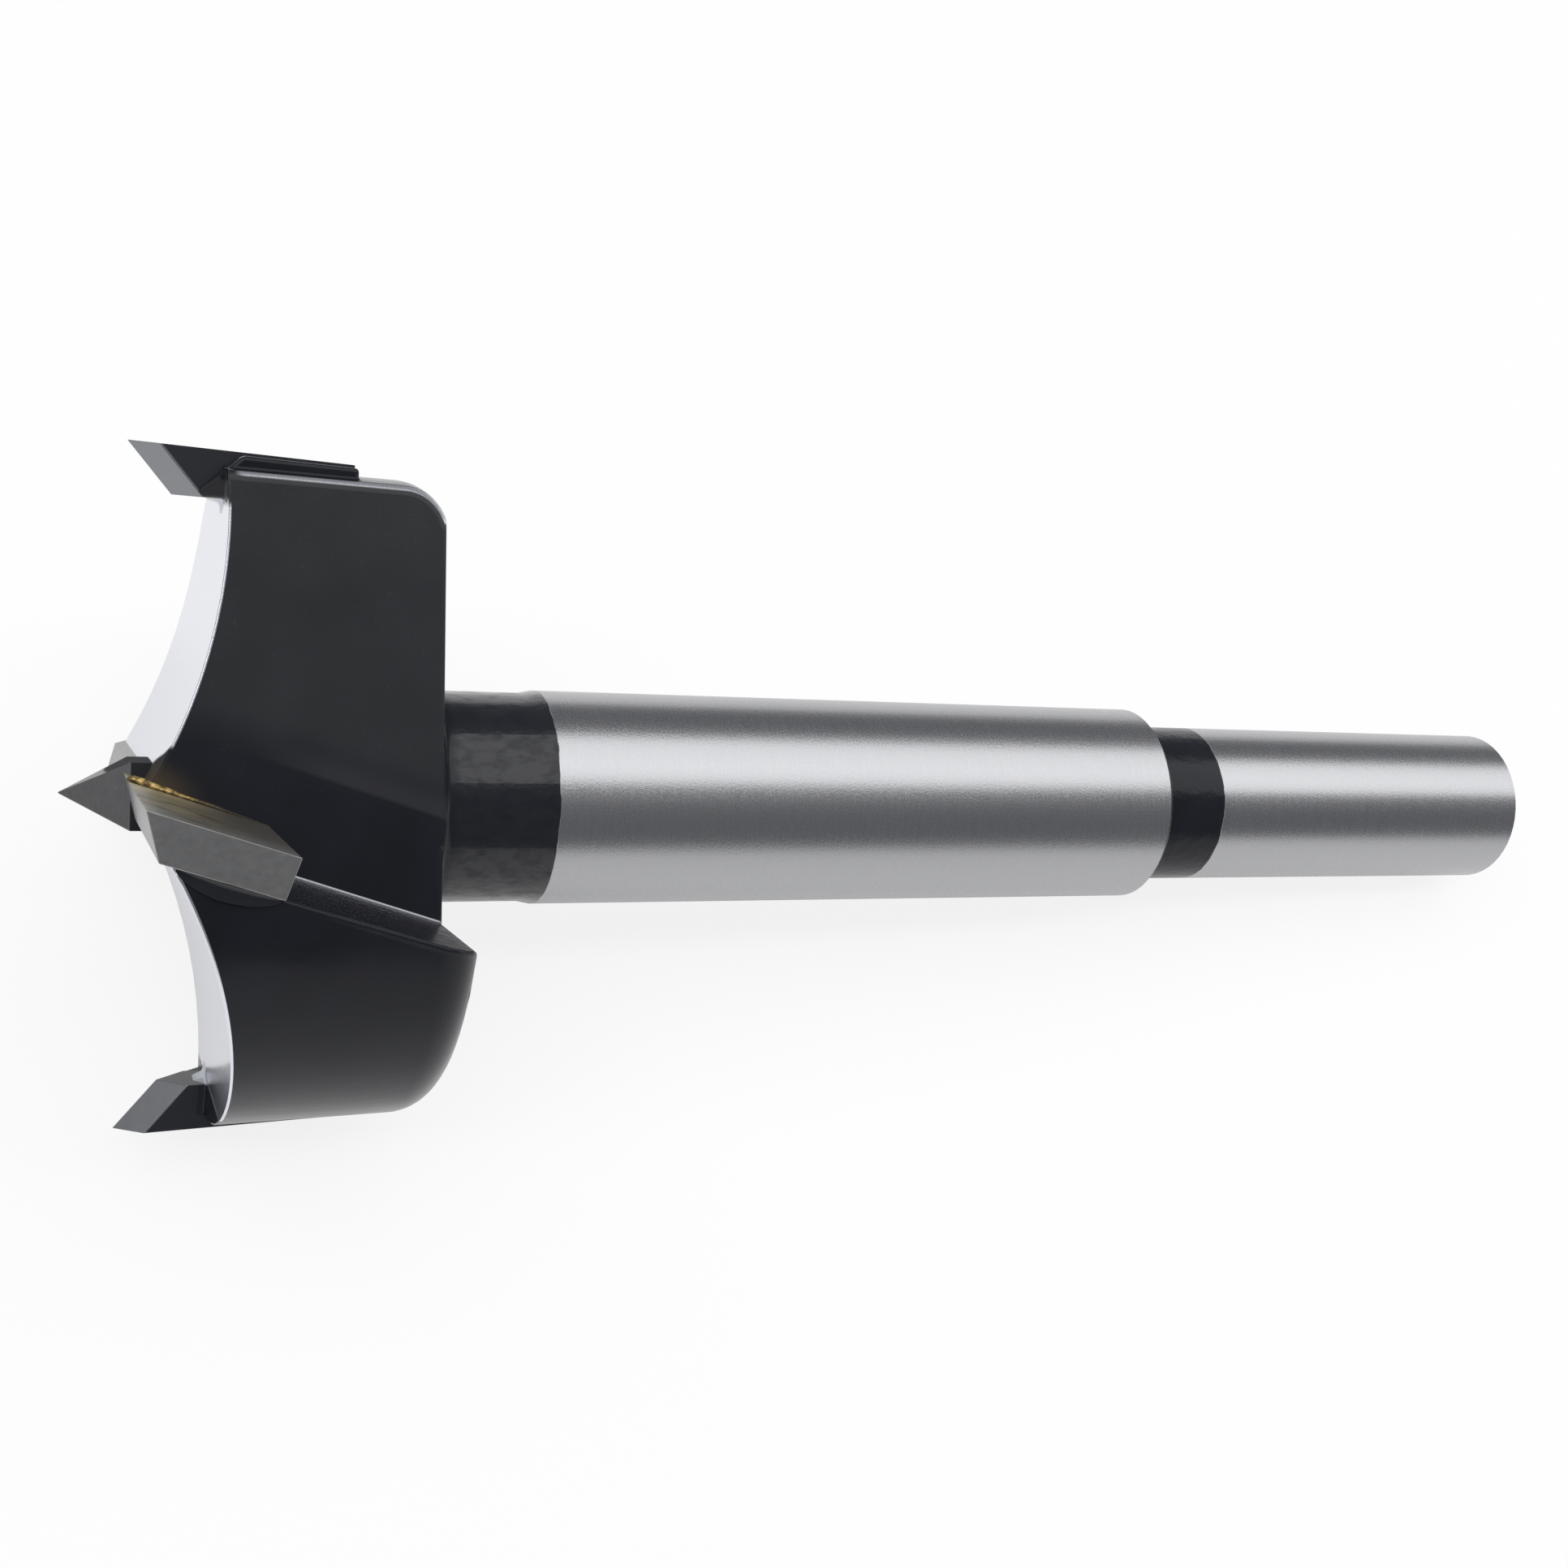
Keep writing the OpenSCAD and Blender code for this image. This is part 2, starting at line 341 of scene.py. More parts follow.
def grid_piece(name, points):
    """A closed tube from an n by m grid of points in the bit frame: row i is a ring, each ring is joined
    to the next one by quads, and the first and last rings are closed by one face each."""
    n, m = points.shape[:2]
    i, j = np.meshgrid(np.arange(n - 1), np.arange(m), indexing="ij")
    k = (j + 1) % m
    quads = np.stack([i * m + j, i * m + k, (i + 1) * m + k, (i + 1) * m + j], axis=-1).reshape(-1, 4)
    caps = [list(range(m))[::-1], list(range((n - 1) * m, n * m))]
    mesh = bpy.data.meshes.new(name)
    mesh.from_pydata(lay_down(points.reshape(-1, 3)).tolist(), [], quads.tolist() + caps)
    work = bmesh.new()
    work.from_mesh(mesh)
    bmesh.ops.recalc_face_normals(work, faces=work.faces[:])
    work.to_mesh(mesh)
    work.free()
    mesh.shade_smooth()
    mesh.set_sharp_from_angle(angle=SHARP_OVER)
    piece = new_piece(name, mesh)
    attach(piece, "root")
    return piece


print("edges stay sharp over, degrees:", round(math.degrees(SHARP_OVER)))

# %% Hollow section along a corner
FILLET_POWER, FILLET_SINK, FILLET_STEPS = 2.0, 0.06, 8


def ripple(s, seed):
    """A smooth uneven line between about -1 and 1: four sines of mixed pitch added up."""
    pitch = np.array([1.7, 3.1, 5.3, 8.9])
    phase = np.array([0.3, 1.9, 4.1, 2.6]) + seed
    return (np.sin(s[:, None] * pitch + phase) * [0.4, 0.3, 0.2, 0.1]).sum(axis=1)


def corner_fillet(corner, off_a, off_b, reach_a, reach_b):
    """Hollow section between two faces, carried along their corner line. Across it goes (1 - t)^power
    times the reach up face a plus t^power times the reach out on face b, for t from 0 to 1. One point
    sunk below the corner hides the back in the metal."""
    t = np.linspace(0, 1, FILLET_STEPS)
    up = (1 - t) ** FILLET_POWER * reach_a[:, None]
    out = t ** FILLET_POWER * reach_b[:, None]
    front = corner[:, None] + up[..., None] * off_a + out[..., None] * off_b
    back = corner[:, None] - FILLET_SINK * (off_a + off_b)
    return np.concatenate([front, back], axis=1)


print("points across a fillet:", FILLET_STEPS + 1)

# %% [markdown]
# ## Braze along the cutters
# Molten braze creeps out of the joint and freezes as a small fillet where the cutter's rake face meets
# the gullet wall. A tube of one size would look like a weld. The reach is larger at the front, where
# more braze ran out, and the ripple makes it uneven.

# %% Braze fillets
BRAZE_UP, BRAZE_OUT, BRAZE_UNEVEN = 0.32, 0.42, 0.25
BRAZE_FROM, BRAZE_TO, BRAZE_FADE = -0.1, 6.75, 7.2


def rake_corner(s):
    """Line where the rake face meets the deeper pass of the gullet wall, at lengths s down the rake."""
    p = np.outer(s, DOWN_RAKE) + [0, 0, CUTTER_AHEAD]
    p[:, 1] = (-PASS_OFF + p[:, 2] * math.sin(WALL_LEAN)) / math.cos(WALL_LEAN)
    return p


s = np.linspace(BRAZE_FROM, BRAZE_TO, 60)
swell = np.clip(1 - s / BRAZE_FADE, 0.08, 1) * np.clip((s + 0.25) / 0.4, 0.2, 1)
braze = []
for wing in (0, 1):
    reach_up = BRAZE_UP * swell * (1 + BRAZE_UNEVEN * ripple(s, wing))
    reach_out = BRAZE_OUT * swell * (1 + BRAZE_UNEVEN * ripple(s, wing + 2))
    section = corner_fillet(rake_corner(s), OFF_RAKE, OFF_WALL, reach_up, reach_out)
    piece = grid_piece(f"braze_fillet_{wing + 1}", half_turn(section, wing))
    braze.append(piece)
print("braze fillets:", len(braze), "faces each:", len(braze[0].data.polygons))

# %% [markdown]
# ## Paint under the cutters
# Each cutter stands out of the rim, and paint gathers in the corner under it. A sharp corner there would
# look like two blocks. The fillet swells from nothing at the front to its full size and back, as the
# square root of a sine, so that its outline is round.

# %% Paint under a cutter
RIM_R, RIM_TAPER = 16.7, math.radians(1)
UNDER_FROM, UNDER_TO, UNDER_END = 2.0, 6.75, 0.05
UNDER_OUT, UNDER_SLOPE, UNDER_UNEVEN = 0.34, 2.4, 0.04
OUT_OF_RIM = np.array([0, -1.0, 0])


def under_cutter(s):
    """Line where the cutter's seat plane leaves the tapered rim, at lengths s down the rake."""
    p = np.outer(s, DOWN_RAKE) + [0, 0, CUTTER_AHEAD] - CUTTER_T * OFF_RAKE
    p[:, 1] = -np.sqrt((RIM_R - p[:, 0] * math.tan(RIM_TAPER)) ** 2 - p[:, 2] ** 2)
    return p


def under_cutter_paint(wing):
    """Section along that line. Its reach is the square root of half a sine wave, a little rippled."""
    s = np.linspace(UNDER_FROM + UNDER_END, UNDER_TO - UNDER_END, 40)
    swell = np.sqrt(np.maximum(np.sin(math.pi * (s - UNDER_FROM) / (UNDER_TO - UNDER_FROM)), 0.01))
    reach = UNDER_OUT * swell * (1 + UNDER_UNEVEN * ripple(s, wing))
    return corner_fillet(under_cutter(s), OUT_OF_RIM, -OFF_RAKE, reach, UNDER_SLOPE * reach)


print("grid of the paint under a cutter:", under_cutter_paint(0).shape[:2])

# %% [markdown]
# ## Braze and paint at the spurs' roots
# Each spur plate rises out of the hollow face. Braze lies along its inner side and was ground bright with
# the face, and paint is left beside its scoring face. The same section serves both, along two lines on
# the hollow face that are given in the spur's own directions.

# %% Lines at the foot of a spur
SPUR_T, SPUR_DEPTH, SPUR_AHEAD, SPUR_LEAN = 2.4, 2.5, 0.2, math.radians(4)
SCORE_R = math.sqrt(17.5 ** 2 - SPUR_AHEAD ** 2)


def hollow_x(z):
    """Level of the first wing's hollow face at a height z: a circle of radius HOLLOW_R."""
    return HOLLOW_BACK - HOLLOW_R + np.sqrt(HOLLOW_R ** 2 - (z + HOLLOW_UP) ** 2)


def spur_foot(inward, across):
    """Places on the first wing's hollow face, inward from the spur's outer face and across from its
    scoring face: the two lengths are turned by the spur's lean, and the hollow gives the level."""
    z = math.cos(SPUR_LEAN) * inward + math.sin(SPUR_LEAN) * across - SCORE_R
    y = -math.sin(SPUR_LEAN) * inward + math.cos(SPUR_LEAN) * across - SPUR_AHEAD
    return np.stack([hollow_x(z), y, z], axis=1)


print("scoring radius, mm:", round(SCORE_R, 3))

# %% Braze and paint at a spur
ROOT_UP, ROOT_SLOPE, ROOT_TAPER, SIDE_UP, SIDE_START = 0.6, 1.4, 0.8, 0.4, 0.9
SPUR_UNEVEN = 0.12
FORWARD, TO_AXIS, BESIDE = np.array([-1.0, 0, 0]), np.array([0, 0, 1.0]), np.array([0, -1.0, 0])


def spur_root_braze(wing):
    """Section along the spur's inner side. Its reach tapers off over ROOT_TAPER at both ends."""
    across = np.linspace(0.0, SPUR_T, 40)
    taper = np.clip(np.minimum(across, SPUR_T - across) / ROOT_TAPER, 0.08, 1)
    reach = ROOT_UP * taper * (1 + SPUR_UNEVEN * ripple(across, wing))
    foot = spur_foot(np.full_like(across, SPUR_DEPTH), across)
    return corner_fillet(foot, FORWARD, TO_AXIS, reach, ROOT_SLOPE * reach)


def spur_side_paint(wing):
    """Section along the spur's scoring face. Its reach is SIDE_UP, a little rippled."""
    inward = np.linspace(SIDE_START, SPUR_DEPTH, 30)
    reach = SIDE_UP * (1 + SPUR_UNEVEN * ripple(inward, wing + 1))
    return corner_fillet(spur_foot(inward, np.zeros_like(inward)), FORWARD, BESIDE, reach, reach)


print("grids at a spur:", spur_root_braze(0).shape[:2], spur_side_paint(0).shape[:2])

# %% Fillets of both wings
paint_fillets, root_fillets = [], []
for wing in (0, 1):
    section = half_turn(under_cutter_paint(wing), wing)
    paint_fillets.append(grid_piece(f"under_cutter_fillet_{wing + 1}", section))
    section = half_turn(spur_root_braze(wing), wing)
    root_fillets.append(grid_piece(f"spur_root_fillet_{wing + 1}", section))
    section = half_turn(spur_side_paint(wing), wing)
    paint_fillets.append(grid_piece(f"spur_side_fillet_{wing + 1}", section))
print("braze fillets at the spurs:", len(root_fillets), "paint fillets:", len(paint_fillets))

# %% [markdown]
# ## Helpers for materials
# Every finish here is worked out from numbers, so a material is a tree of small sums. Placing each node
# by hand would hide what the tree says. A few helpers make one node each and hand back its result, so
# that a mask reads like a formula.

# %% New finish and its links
TO_BIT = Matrix(LAY_DOWN.T.tolist()).to_euler("XYZ")


def new_finish(name):
    """An empty material with one Principled shader: the material, its tree and the shader."""
    material = bpy.data.materials.new(name)
    material.use_nodes = True
    tree = material.node_tree
    tree.nodes.clear()
    out = tree.nodes.new("ShaderNodeOutputMaterial")
    shader = tree.nodes.new("ShaderNodeBsdfPrincipled")
    tree.links.new(shader.outputs["BSDF"], out.inputs["Surface"])
    return material, tree, shader


def bit_place(tree):
    """Object coordinates turned into the bit frame, in mm."""
    coords = tree.nodes.new("ShaderNodeTexCoord")
    turn = tree.nodes.new("ShaderNodeMapping")
    turn.inputs["Location"].default_value = (EDGE_TO_GRIP, 0, 0)
    turn.inputs["Rotation"].default_value = TO_BIT
    turn.inputs["Scale"].default_value = (1 / MM, 1 / MM, 1 / MM)
    tree.links.new(coords.outputs["Object"], turn.inputs["Vector"])
    return turn.outputs["Vector"]


def put(tree, value, socket):
    """Links a socket, or sets a plain value."""
    if isinstance(value, bpy.types.NodeSocket):
        tree.links.new(value, socket)
    else:
        socket.default_value = value


print("turn into the bit frame, degrees:", np.round(np.degrees(TO_BIT), 2))

# %% Sums and masks


def calc(tree, operation, a, b=0.0, c=0.0, clamp=False):
    """One Math node."""
    node = tree.nodes.new("ShaderNodeMath")
    node.operation = operation
    node.use_clamp = clamp
    for value, socket in zip((a, b, c), node.inputs):
        put(tree, value, socket)
    return node.outputs[0]


def times(tree, first, *others):
    """The product of any number of values."""
    for other in others:
        first = calc(tree, "MULTIPLY", first, other)
    return first


def step_up(tree, value, none, full):
    """0 at none, 1 at full, smooth between. It steps down where none is the larger number."""
    node = tree.nodes.new("ShaderNodeMapRange")
    node.interpolation_type = "SMOOTHSTEP"
    for number, key in ((value, "Value"), (none, "From Min"), (full, "From Max")):
        put(tree, number, node.inputs[key])
    return node.outputs["Result"]


def band_mask(tree, value, start, full, fade, end):
    """0 up to start, 1 from full to fade and 0 past end, smooth between."""
    return times(tree, step_up(tree, value, start, full), step_up(tree, value, end, fade))


print("helpers: calc, times, step_up, band_mask")

# %% Blends, noise and bumps


def blend_colour(tree, share, a, b):
    """Colour a where the share is 0, colour b where it is 1."""
    node = tree.nodes.new("ShaderNodeMix")
    node.data_type = "RGBA"
    for value, socket in zip((share, a, b), (node.inputs[0], node.inputs[6], node.inputs[7])):
        put(tree, value, socket)
    return node.outputs[2]


def blend_value(tree, share, a, b):
    """Value a where the share is 0, value b where it is 1."""
    node = tree.nodes.new("ShaderNodeMix")
    for value, socket in zip((share, a, b), (node.inputs[0], node.inputs[2], node.inputs[3])):
        put(tree, value, socket)
    return node.outputs[0]


def stretched_noise(tree, place, scale, detail=2.0, rough=0.5):
    """Noise on a place that is first scaled by three numbers, in 1/mm."""
    node = tree.nodes.new("ShaderNodeVectorMath")
    node.operation = "MULTIPLY"
    tree.links.new(place, node.inputs[0])
    node.inputs[1].default_value = scale
    noise = tree.nodes.new("ShaderNodeTexNoise")
    noise.inputs["Scale"].default_value = 1.0
    noise.inputs["Detail"].default_value = detail
    noise.inputs["Roughness"].default_value = rough
    tree.links.new(node.outputs[0], noise.inputs["Vector"])
    return noise.outputs[0]


def roughen(tree, shader, height, depth, strength=1.0):
    """Bumps on a shader: depth in mm is how deep a height of 1 looks."""
    bump = tree.nodes.new("ShaderNodeBump")
    bump.inputs["Distance"].default_value = depth * MM
    bump.inputs["Strength"].default_value = strength
    put(tree, height, bump.inputs["Height"])
    put(tree, bump.outputs["Normal"], shader.inputs["Normal"])


print("helpers: blend_colour, blend_value, stretched_noise, roughen")

# %% [markdown]
# ## Where a point lies on the bit
# The finishes follow the faces: paint ends at a length, the hollow is bright, the wall is dull. Painting
# masks by hand would tie them to one mesh. A node group works out the distances that the masks
# need from the place alone, the same on both wings, and every material of the bit can use it.

# %% Node groups


def new_group(name, inputs, outputs):
    """An empty shader group with named sockets, and its two end nodes."""
    group = bpy.data.node_groups.new(name, "ShaderNodeTree")
    for label, kind in inputs:
        group.interface.new_socket(name=label, in_out="INPUT", socket_type=kind)
    for label, kind in outputs:
        group.interface.new_socket(name=label, in_out="OUTPUT", socket_type=kind)
    return group, group.nodes.new("NodeGroupInput"), group.nodes.new("NodeGroupOutput")


def use_group(tree, group, **values):
    """Places a group in a tree with its own values, and hands back its outputs by name."""
    node = tree.nodes.new("ShaderNodeGroup")
    node.node_tree = group
    for label, value in values.items():
        put(tree, value, node.inputs[label])
    return node.outputs


MAP_TERMS = ["Along", "Radius", "Height", "Trail", "Above Rake", "Off Wall", "In Hollow", "Spur Depth",
             "Behind Ridge"]
bit_map, given, result = new_group("Bit map", [("Place", "NodeSocketVector")],
                                   [(term, "NodeSocketFloat") for term in MAP_TERMS])
print("group:", bit_map.name, "terms:", len(MAP_TERMS))

# %% Terms of the bit map
SPUR_LEAD, SPUR_BEVEL, SPUR_ROOF = 0.1, math.radians(40), math.radians(42)


def gullet_terms(tree, x, y, z):
    """Up from the rake plane and out to the gullet wall. The sign of y tells the wing: z is turned by it."""
    up = times(tree, z, calc(tree, "SIGN", y), -1.0)
    above = calc(tree, "MULTIPLY_ADD", calc(tree, "SUBTRACT", up, CUTTER_AHEAD), math.cos(RAKE),
                 calc(tree, "MULTIPLY", x, math.sin(RAKE)))
    off = calc(tree, "MULTIPLY_ADD", calc(tree, "ABSOLUTE", y), math.cos(WALL_LEAN),
               calc(tree, "MULTIPLY", up, math.sin(WALL_LEAN)))
    return {"Above Rake": above, "Off Wall": off}


def hollow_terms(tree, x, height):
    """Distance from the hollow face: its radius less the way to its centre line."""
    level = calc(tree, "ADD", x, HOLLOW_R - HOLLOW_BACK)
    rise = calc(tree, "SUBTRACT", height, HOLLOW_UP)
    squares = calc(tree, "MULTIPLY_ADD", level, level, calc(tree, "MULTIPLY", rise, rise))
    return {"In Hollow": calc(tree, "SUBTRACT", HOLLOW_R, calc(tree, "SQRT", squares))}


def spur_terms(tree, x, height, trail):
    """Depth in from the spur's outer face, and the way behind its two ground faces, which slope back
    from the tip and fall to both sides of a ridge in mid-plate."""
    inward = calc(tree, "SUBTRACT", SCORE_R, height)
    depth = calc(tree, "MULTIPLY_ADD", inward, math.cos(SPUR_LEAN),
                 calc(tree, "MULTIPLY", trail, -math.sin(SPUR_LEAN)))
    across = calc(tree, "MULTIPLY_ADD", inward, math.sin(SPUR_LEAN),
                  calc(tree, "MULTIPLY", trail, math.cos(SPUR_LEAN)))
    aside = calc(tree, "ABSOLUTE", calc(tree, "SUBTRACT", across, SPUR_T / 2))
    front = calc(tree, "MULTIPLY_ADD", depth, math.tan(SPUR_BEVEL), -SPUR_LEAD)
    front = calc(tree, "MULTIPLY_ADD", aside, math.tan(SPUR_ROOF) / math.cos(SPUR_BEVEL), front)
    return {"Spur Depth": depth, "Behind Ridge": calc(tree, "SUBTRACT", x, front)}


split = bit_map.nodes.new("ShaderNodeSeparateXYZ")
bit_map.links.new(given.outputs["Place"], split.inputs[0])
x, y, z = (split.outputs[key] for key in "XYZ")
height = calc(bit_map, "ABSOLUTE", z)
trail = calc(bit_map, "MULTIPLY_ADD", times(bit_map, calc(bit_map, "SIGN", z), y), -1.0, SPUR_AHEAD)
squares = calc(bit_map, "MULTIPLY_ADD", y, y, calc(bit_map, "MULTIPLY", z, z))
terms = {"Along": x, "Radius": calc(bit_map, "SQRT", squares), "Height": height, "Trail": trail}
terms.update(gullet_terms(bit_map, x, y, z))
terms.update(hollow_terms(bit_map, x, height))
terms.update(spur_terms(bit_map, x, height, trail))
for term in MAP_TERMS:
    bit_map.links.new(terms[term], result.inputs[term])
print("terms:", ", ".join(terms))

# %% [markdown]
# ## Orange peel and dust in the paint
# Sprayed paint dries with a fine dimpled skin and traps a little dust. An image could show it, but would
# have to be fitted to every face. Three noises of different pitch in the bit frame do it on any piece,
# as a group that takes the strength of the dimples.

# %% Paint skin
PAINT_DARK, PAINT_DUSTY = (0.007, 0.0075, 0.010, 1), (0.016, 0.017, 0.023, 1)
paint_skin, given, result = new_group(
    "Paint skin", [("Place", "NodeSocketVector"), ("Peel", "NodeSocketFloat")],
    [("Colour", "NodeSocketColor"), ("Rough", "NodeSocketFloat"), ("Height", "NodeSocketFloat")])
place = given.outputs["Place"]
peel = stretched_noise(paint_skin, place, (1.3, 1.3, 1.3), 3.0, 0.55)
dust = stretched_noise(paint_skin, place, (6.0, 6.0, 6.0), 4.0, 0.65)
cloud = stretched_noise(paint_skin, place, (0.25, 0.25, 0.25), 2.0, 0.5)
specks = step_up(paint_skin, dust, 0.58, 0.80)
tone = calc(paint_skin, "MULTIPLY_ADD", specks, 0.5, cloud)
rough = calc(paint_skin, "MULTIPLY_ADD", cloud, 0.10, 0.13)
bumps = calc(paint_skin, "MULTIPLY_ADD", dust, 0.25, peel)
put(paint_skin, blend_colour(paint_skin, tone, PAINT_DARK, PAINT_DUSTY), result.inputs["Colour"])
put(paint_skin, calc(paint_skin, "MULTIPLY_ADD", specks, 0.15, rough), result.inputs["Rough"])
put(paint_skin, times(paint_skin, bumps, given.outputs["Peel"]), result.inputs["Height"])
print("group:", paint_skin.name)

# %% [markdown]
# ## Grinding marks
# A turned bar that is ground between wheels shows fine rings and an even grit. The rings come from a
# noise that is squeezed along the axis and the grit from an even one. Their mix gives the tone, the
# roughness and the height, so that a mark is seen in all three.

# %% Ground lines
ground_lines, given, result = new_group(
    "Ground lines", [("Place", "NodeSocketVector")],
    [("Tone", "NodeSocketFloat"), ("Rough", "NodeSocketFloat"), ("Height", "NodeSocketFloat")])
place = given.outputs["Place"]
fine = stretched_noise(ground_lines, place, (12.0, 0.5, 0.5), 3.0, 0.6)
grit = stretched_noise(ground_lines, place, (9.0, 9.0, 9.0), 3.0, 0.65)
for label, grit_share in (("Tone", 0.6), ("Rough", 0.7), ("Height", 0.6)):
    put(ground_lines, blend_value(ground_lines, grit_share, fine, grit), result.inputs[label])
print("group:", ground_lines.name)

# %% [markdown]
# ## Black paint over ground steel
# The body is one piece of steel. It was painted at the head and the neck, and the stem and shank were
# ground bright, which left a black band below the shoulder where the wheel doesn't reach. Separate
# pieces would need cuts in the mesh. One material with masks along the axis keeps the body whole.

# %% Painted lengths
PAINT_END, SHOULDER, BAND_END, BAND_R, PAINT_SOFT = 21.07, 59.0, 63.2, 5.3, 0.03
body_finish, tree, shader = new_finish("black_paint_and_ground_steel")
place = bit_place(tree)
where = use_group(tree, bit_map, Place=place)
uneven = calc(tree, "MULTIPLY_ADD", stretched_noise(tree, place, (0.5, 0.7, 0.7)), 0.24, -0.12)
along = calc(tree, "ADD", where["Along"], uneven)
head_paint = step_up(tree, along, PAINT_END + PAINT_SOFT, PAINT_END - PAINT_SOFT)
band = times(tree, step_up(tree, where["Along"], SHOULDER - 0.3, SHOULDER - 0.2),
             step_up(tree, where["Radius"], BAND_R + PAINT_SOFT, BAND_R - PAINT_SOFT),
             step_up(tree, along, BAND_END + PAINT_SOFT, BAND_END - PAINT_SOFT))
print("paint to", PAINT_END, "mm, and a band from", SHOULDER, "to", BAND_END, "mm")

# %% [markdown]
# ## Bright hollow faces
# The hollow front faces were ground after painting, together with the cutters, so they are bright metal.
# A burnt patch is left beside the wall, where the braze was hot, and it slants away from the wall. The
# foot of the spur stays painted. The distance from the hollow's circle picks out the face.

# %% Hollow mask and burnt patch
BURNT_TO, BURNT_FULL, BURNT_SLANT = 1.32, 1.0, 0.29
hollow = band_mask(tree, where["In Hollow"], -0.14, -0.10, 0.03, 0.06)
from_axis = calc(tree, "MULTIPLY_ADD", uneven, 1.5, where["Height"])
from_axis = calc(tree, "MULTIPLY_ADD", where["Trail"], -BURNT_SLANT, from_axis)
burnt = times(tree, hollow, step_up(tree, from_axis, BURNT_TO, BURNT_FULL))
hollow = times(tree, calc(tree, "SUBTRACT", hollow, burnt),
               step_up(tree, where["Spur Depth"], SPUR_DEPTH, SPUR_DEPTH + 0.4))
painted = calc(tree, "SUBTRACT", calc(tree, "ADD", head_paint, band), hollow, clamp=True)
print("burnt patch slants by", BURNT_SLANT, "mm per mm")

# %% [markdown]
# ## Coarse and dull paint
# The paint isn't the same all over. It is coarse on the neck and on the seats behind the cutters, the
# gullet wall is duller and lighter above the deeper pass, and brown flux lies beside the braze. Along the
# lip of the deeper pass a lighter band is painted as a highlight, where the ramp would catch the light.
# Each of them is a mask that blends another tone into the same skin.

# %% Coarse paint
on_neck = step_up(tree, where["Along"], 15.2, 16.0)
seat_level = band_mask(tree, where["Above Rake"], -CUTTER_T - 0.4, -CUTTER_T - 0.1,
                       -CUTTER_T + 0.02, -CUTTER_T + 0.05)
in_seat = times(tree, seat_level, step_up(tree, where["Off Wall"], PASS_OFF + 0.1, PASS_OFF + 0.2))
coarse = calc(tree, "MAXIMUM", on_neck, in_seat)
skin = use_group(tree, paint_skin, Place=place, Peel=calc(tree, "MULTIPLY_ADD", coarse, 2.6, 0.5))
print("coarse paint, nodes so far:", len(tree.nodes))

# %% Dull wall, painted lip highlight and flux
DULL, LIP_HIGHLIGHT_TONE, FLUX = (0.038, 0.040, 0.042, 1), (0.05, 0.05, 0.055, 1), (0.075, 0.055, 0.03, 1)
above, off_wall = where["Above Rake"], where["Off Wall"]
dull = times(tree, step_up(tree, above, PASS_TOP - 0.5, PASS_TOP + 2.5),
             band_mask(tree, off_wall, PASS_OFF - 0.04, PASS_OFF - 0.01, WALL_OFF + 0.02, WALL_OFF + 0.06),
             step_up(tree, where["Along"], HEAD_REAR + 0.1, HEAD_REAR - 0.1),
             calc(tree, "MULTIPLY_ADD", skin["Rough"], 2.0, 0.3))
# The lighter band along the lip of the deeper pass is a painted highlight, where the ramp would catch the
# light.
painted_lip_highlight = times(tree, band_mask(tree, above, PASS_TOP - 0.1, PASS_TOP + 0.15, PASS_TOP + 0.2, PASS_TOP + 1.5),
              band_mask(tree, off_wall, PASS_OFF - 0.04, PASS_OFF - 0.01, WALL_OFF + 0.01, WALL_OFF + 0.03),
              step_up(tree, where["Along"], 5.0, 10.0))
flux = times(tree, step_up(tree, above, 1.7, 0.1), step_up(tree, where["Along"], 4.0, 0.5),
             step_up(tree, off_wall, PASS_OFF + 0.4, PASS_OFF + 0.2))
black = skin["Colour"]
for mask, share, colour in ((dull, 0.85, DULL), (painted_lip_highlight, 0.4, LIP_HIGHLIGHT_TONE), (flux, 0.8, FLUX)):
    black = blend_colour(tree, times(tree, mask, share), black, colour)
print("wall tones, nodes so far:", len(tree.nodes))

# %% [markdown]
# ## Painted edge highlights
# Bright lines show on the round top of each wall and in the corner behind each cutter, where these
# edges catch the light. A pointiness mask would need a dense mesh. The map knows where both edges
# lie, so two narrow bands of bright bare steel are painted there as highlights.

# %% Painted highlights on the wall top and seat corner
EDGE_HIGHLIGHT_SHARE, CORNER_HIGHLIGHT_SHARE = 0.85, 0.7
wall_top_highlight = times(tree, band_mask(tree, off_wall, WALL_OFF - 0.34, WALL_OFF - 0.22,
                                 WALL_OFF - 0.12, WALL_OFF - 0.04),
                 step_up(tree, where["Radius"], 14.3, 15.0), step_up(tree, where["Along"], 4.6, 5.2),
                 step_up(tree, above, 8.0, 9.0))
seat_corner_highlight = times(tree, band_mask(tree, above, -CUTTER_T - 0.10, -CUTTER_T - 0.04,
                                  -CUTTER_T + 0.07, -CUTTER_T + 0.12),
                  band_mask(tree, off_wall, PASS_OFF - 0.10, PASS_OFF - 0.04,
                            PASS_OFF + 0.07, PASS_OFF + 0.12),
                  step_up(tree, where["Along"], 6.0, 6.6), CORNER_HIGHLIGHT_SHARE)
painted_edge_highlight = times(tree, calc(tree, "MAXIMUM", wall_top_highlight, seat_corner_highlight), EDGE_HIGHLIGHT_SHARE)
painted = calc(tree, "MULTIPLY_ADD", times(tree, painted_edge_highlight, head_paint), -1.0, painted, clamp=True)
print("worn through at most:", EDGE_HIGHLIGHT_SHARE)

# %% [markdown]
# ## The body's finish
# Paint and bare steel differ in colour, in being metal, in roughness and in their bumps. Two materials
# would need a face border along every mask. Here each of the four is a blend by the painted mask,
# and a clear coat in runs makes the neck glossier, where the paint was laid on thick.

